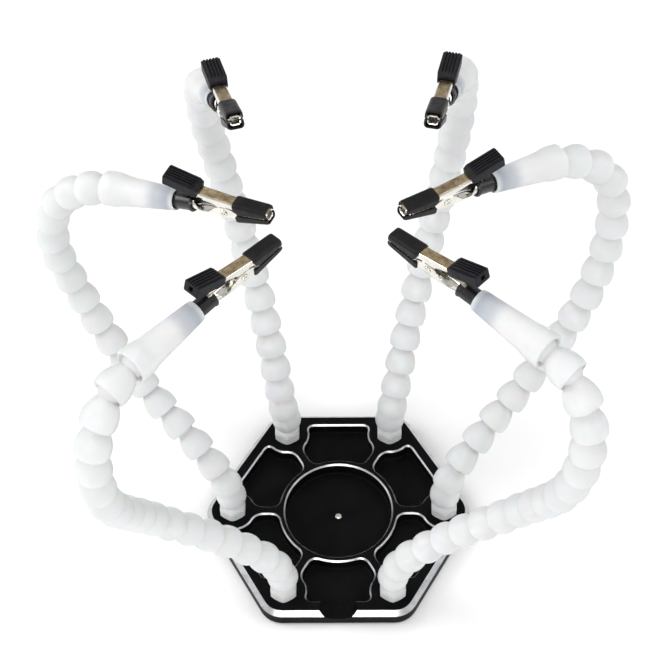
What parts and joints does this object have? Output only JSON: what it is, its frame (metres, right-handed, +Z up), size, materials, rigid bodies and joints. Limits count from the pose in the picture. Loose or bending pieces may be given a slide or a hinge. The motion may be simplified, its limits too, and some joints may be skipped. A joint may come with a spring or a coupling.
{
  "type": "helping hands clamp",
  "caption": "Bench stand with a milled hexagonal tray base and flexible ball-and-socket hose arms, each ending in a swivelling sprung clip that holds small work.",
  "frame": {"origin": "centre of the foot pad's underside, where the stand rests on the bench", "axes": "+Z up, +Y to the back, +X to the right as seen from the front"},
  "size_m": [0.2914, 0.2127, 0.3218],
  "materials": {
    "anodised": "black anodised, with bright cut chamfers",
    "rubber": "matt",
    "frosted_plastic": "translucent, frosted",
    "nickel_steel": "bright nickel plate",
    "black_vinyl": "satin"
  },
  "bodies": {
    "stand": {"base_plate": "anodised", "foot_pad": "rubber", "centre_screw": "nickel_steel", "fitting_back_right": "frosted_plastic", "fitting_back_left": "frosted_plastic", "fitting_mid_right": "frosted_plastic", "fitting_mid_left": "frosted_plastic", "fitting_front_right": "frosted_plastic", "fitting_front_left": "frosted_plastic"},
    "hose_lower_back_right": {"hose_lower_back_right": "frosted_plastic"},
    "hose_upper_back_right": {"hose_upper_back_right": "frosted_plastic"},
    "nozzle_back_right": {"nozzle_back_right": "frosted_plastic"},
    "clip_back_right": {"fixed_jaw_back_right": "nickel_steel", "fixed_sleeve_back_right": "black_vinyl"},
    "lever_back_right": {"moving_jaw_back_right": "nickel_steel", "moving_sleeve_back_right": "black_vinyl", "tail_grip_back_right": "black_vinyl"},
    "hose_lower_back_left": {"hose_lower_back_left": "frosted_plastic"},
    "hose_upper_back_left": {"hose_upper_back_left": "frosted_plastic"},
    "nozzle_back_left": {"nozzle_back_left": "frosted_plastic"},
    "clip_back_left": {"fixed_jaw_back_left": "nickel_steel", "fixed_sleeve_back_left": "black_vinyl"},
    "lever_back_left": {"moving_jaw_back_left": "nickel_steel", "moving_sleeve_back_left": "black_vinyl", "tail_grip_back_left": "black_vinyl"},
    "hose_lower_mid_right": {"hose_lower_mid_right": "frosted_plastic"},
    "hose_upper_mid_right": {"hose_upper_mid_right": "frosted_plastic"},
    "nozzle_mid_right": {"nozzle_mid_right": "frosted_plastic"},
    "clip_mid_right": {"fixed_jaw_mid_right": "nickel_steel", "fixed_sleeve_mid_right": "black_vinyl"},
    "lever_mid_right": {"moving_jaw_mid_right": "nickel_steel", "moving_sleeve_mid_right": "black_vinyl", "tail_grip_mid_right": "black_vinyl"},
    "hose_lower_mid_left": {"hose_lower_mid_left": "frosted_plastic"},
    "hose_upper_mid_left": {"hose_upper_mid_left": "frosted_plastic"},
    "nozzle_mid_left": {"nozzle_mid_left": "frosted_plastic"},
    "clip_mid_left": {"fixed_jaw_mid_left": "nickel_steel", "fixed_sleeve_mid_left": "black_vinyl"},
    "lever_mid_left": {"moving_jaw_mid_left": "nickel_steel", "moving_sleeve_mid_left": "black_vinyl", "tail_grip_mid_left": "black_vinyl"},
    "hose_lower_front_right": {"hose_lower_front_right": "frosted_plastic"},
    "hose_upper_front_right": {"hose_upper_front_right": "frosted_plastic"},
    "nozzle_front_right": {"nozzle_front_right": "frosted_plastic"},
    "clip_front_right": {"fixed_jaw_front_right": "nickel_steel", "fixed_sleeve_front_right": "black_vinyl"},
    "lever_front_right": {"moving_jaw_front_right": "nickel_steel", "moving_sleeve_front_right": "black_vinyl", "tail_grip_front_right": "black_vinyl"},
    "hose_lower_front_left": {"hose_lower_front_left": "frosted_plastic"},
    "hose_upper_front_left": {"hose_upper_front_left": "frosted_plastic"},
    "nozzle_front_left": {"nozzle_front_left": "frosted_plastic"},
    "clip_front_left": {"fixed_jaw_front_left": "nickel_steel", "fixed_sleeve_front_left": "black_vinyl"},
    "lever_front_left": {"moving_jaw_front_left": "nickel_steel", "moving_sleeve_front_left": "black_vinyl", "tail_grip_front_left": "black_vinyl"}
  },
  "joints": [
    {"name": "bend_base_back_right", "type": "hinge", "parent": "stand", "child": "hose_lower_back_right", "pos_m": [0.02925, 0.05066, 0.027], "axis": [-0.866, 0.5, 0], "range_deg": [-6, 12]},
    {"name": "bend_mid_back_right", "type": "hinge", "parent": "hose_lower_back_right", "child": "hose_upper_back_right", "pos_m": [0.05164, 0.09408, 0.14697], "axis": [-0.866, 0.5, 0], "range_deg": [-6, 12]},
    {"name": "bend_nozzle_back_right", "type": "hinge", "parent": "hose_upper_back_right", "child": "nozzle_back_right", "pos_m": [0.05721, 0.07098, 0.27121], "axis": [-0.9772, 0.2123, 0], "range_deg": [-1, 12]},
    {"name": "swivel_back_right", "type": "hinge", "parent": "nozzle_back_right", "child": "clip_back_right", "pos_m": [0.05075, 0.04127, 0.28853], "axis": [-0.1845, -0.8491, 0.4949], "continuous": true},
    {"name": "jaw_back_right", "type": "hinge", "parent": "clip_back_right", "child": "lever_back_right", "pos_m": [0.0459, 0.01895, 0.30096], "axis": [-0.9772, 0.2123, 0], "range_deg": [0, 13], "stiffness_Nm_per_rad": 0.25, "springref_deg": -34.38},
    {"name": "bend_base_back_left", "type": "hinge", "parent": "stand", "child": "hose_lower_back_left", "pos_m": [-0.02925, 0.05066, 0.027], "axis": [-0.866, -0.5, 0], "range_deg": [-6, 12]},
    {"name": "bend_mid_back_left", "type": "hinge", "parent": "hose_lower_back_left", "child": "hose_upper_back_left", "pos_m": [-0.04961, 0.08584, 0.15022], "axis": [-0.866, -0.5, 0], "range_deg": [-6, 12]},
    {"name": "bend_nozzle_back_left", "type": "hinge", "parent": "hose_upper_back_left", "child": "nozzle_back_left", "pos_m": [-0.05713, 0.06246, 0.27361], "axis": [-0.9637, -0.2669, 0], "range_deg": [-1, 12]},
    {"name": "swivel_back_left", "type": "hinge", "parent": "nozzle_back_left", "child": "clip_back_left", "pos_m": [-0.04926, 0.03404, 0.29245], "axis": [0.2249, -0.8122, 0.5383], "continuous": true},
    {"name": "jaw_back_left", "type": "hinge", "parent": "clip_back_left", "child": "lever_back_left", "pos_m": [-0.04334, 0.01266, 0.30602], "axis": [-0.9637, -0.2669, 0], "range_deg": [0, 13], "stiffness_Nm_per_rad": 0.25, "springref_deg": -34.38},
    {"name": "bend_base_mid_right", "type": "hinge", "parent": "stand", "child": "hose_lower_mid_right", "pos_m": [0.0585, 0, 0.027], "axis": [0, 1, 0], "range_deg": [-2, 12]},
    {"name": "bend_mid_mid_right", "type": "hinge", "parent": "hose_lower_mid_right", "child": "hose_upper_mid_right", "pos_m": [0.12179, 0.04134, 0.12979], "axis": [0, 1, 0], "range_deg": [-2, 12]},
    {"name": "bend_nozzle_mid_right", "type": "hinge", "parent": "hose_upper_mid_right", "child": "nozzle_mid_right", "pos_m": [0.10093, 0.04567, 0.23927], "axis": [-0.5173, 0.8558, 0], "range_deg": [-1, 12]},
    {"name": "swivel_mid_right", "type": "hinge", "parent": "nozzle_mid_right", "child": "clip_mid_right", "pos_m": [0.07146, 0.02786, 0.24557], "axis": [-0.8418, -0.5089, 0.1799], "continuous": true},
    {"name": "jaw_mid_right", "type": "hinge", "parent": "clip_mid_right", "child": "lever_mid_right", "pos_m": [0.0495, 0.01458, 0.24975], "axis": [-0.5173, 0.8558, 0], "range_deg": [0, 13], "stiffness_Nm_per_rad": 0.25, "springref_deg": -34.38},
    {"name": "bend_base_mid_left", "type": "hinge", "parent": "stand", "child": "hose_lower_mid_left", "pos_m": [-0.0585, 0, 0.027], "axis": [0, -1, 0], "range_deg": [-2, 12]},
    {"name": "bend_mid_mid_left", "type": "hinge", "parent": "hose_lower_mid_left", "child": "hose_upper_mid_left", "pos_m": [-0.12334, 0.04453, 0.12591], "axis": [0, -1, 0], "range_deg": [-2, 12]},
    {"name": "bend_nozzle_mid_left", "type": "hinge", "parent": "hose_upper_mid_left", "child": "nozzle_mid_left", "pos_m": [-0.10093, 0.03521, 0.23519], "axis": [-0.4192, -0.9079, 0], "range_deg": [-1, 12]},
    {"name": "swivel_mid_left", "type": "hinge", "parent": "nozzle_mid_left", "child": "clip_mid_left", "pos_m": [-0.07001, 0.02094, 0.24327], "axis": [0.8833, -0.4079, 0.231], "continuous": true},
    {"name": "jaw_mid_left", "type": "hinge", "parent": "clip_mid_left", "child": "lever_mid_left", "pos_m": [-0.04694, 0.01029, 0.24879], "axis": [-0.4192, -0.9079, 0], "range_deg": [0, 13], "stiffness_Nm_per_rad": 0.25, "springref_deg": -34.38},
    {"name": "bend_base_front_right", "type": "hinge", "parent": "stand", "child": "hose_lower_front_right", "pos_m": [0.02925, -0.05066, 0.027], "axis": [0.866, 0.5, 0], "range_deg": [0, 12]},
    {"name": "bend_mid_front_right", "type": "hinge", "parent": "hose_lower_front_right", "child": "hose_upper_front_right", "pos_m": [0.09272, -0.07588, 0.13806], "axis": [0.866, 0.5, 0], "range_deg": [0, 12]},
    {"name": "bend_nozzle_front_right", "type": "hinge", "parent": "hose_upper_front_right", "child": "nozzle_front_right", "pos_m": [0.08685, -0.06813, 0.24876], "axis": [0.6885, 0.7252, 0], "range_deg": [-1, 12]},
    {"name": "swivel_front_right", "type": "hinge", "parent": "nozzle_front_right", "child": "clip_front_right", "pos_m": [0.06151, -0.04407, 0.25076], "axis": [-0.724, 0.6874, 0.057], "continuous": true},
    {"name": "jaw_front_right", "type": "hinge", "parent": "clip_front_right", "child": "lever_front_right", "pos_m": [0.04267, -0.02618, 0.25174], "axis": [0.6885, 0.7252, 0], "range_deg": [0, 13], "stiffness_Nm_per_rad": 0.25, "springref_deg": -34.38},
    {"name": "bend_base_front_left", "type": "hinge", "parent": "stand", "child": "hose_lower_front_left", "pos_m": [-0.02925, -0.05066, 0.027], "axis": [0.866, -0.5, 0], "range_deg": [0, 12]},
    {"name": "bend_mid_front_left", "type": "hinge", "parent": "hose_lower_front_left", "child": "hose_upper_front_left", "pos_m": [-0.09125, -0.08017, 0.13764], "axis": [0.866, -0.5, 0], "range_deg": [0, 12]},
    {"name": "bend_nozzle_front_left", "type": "hinge", "parent": "hose_upper_front_left", "child": "nozzle_front_left", "pos_m": [-0.08083, -0.07403, 0.24776], "axis": [0.7351, -0.678, 0], "range_deg": [-1, 12]},
    {"name": "swivel_front_left", "type": "hinge", "parent": "nozzle_front_left", "child": "clip_front_left", "pos_m": [-0.05714, -0.04834, 0.24977], "axis": [0.6768, 0.7339, 0.0576], "continuous": true},
    {"name": "jaw_front_left", "type": "hinge", "parent": "clip_front_left", "child": "lever_front_left", "pos_m": [-0.03952, -0.02924, 0.25077], "axis": [0.7351, -0.678, 0], "range_deg": [0, 13], "stiffness_Nm_per_rad": 0.25, "springref_deg": -34.38}
  ]
}
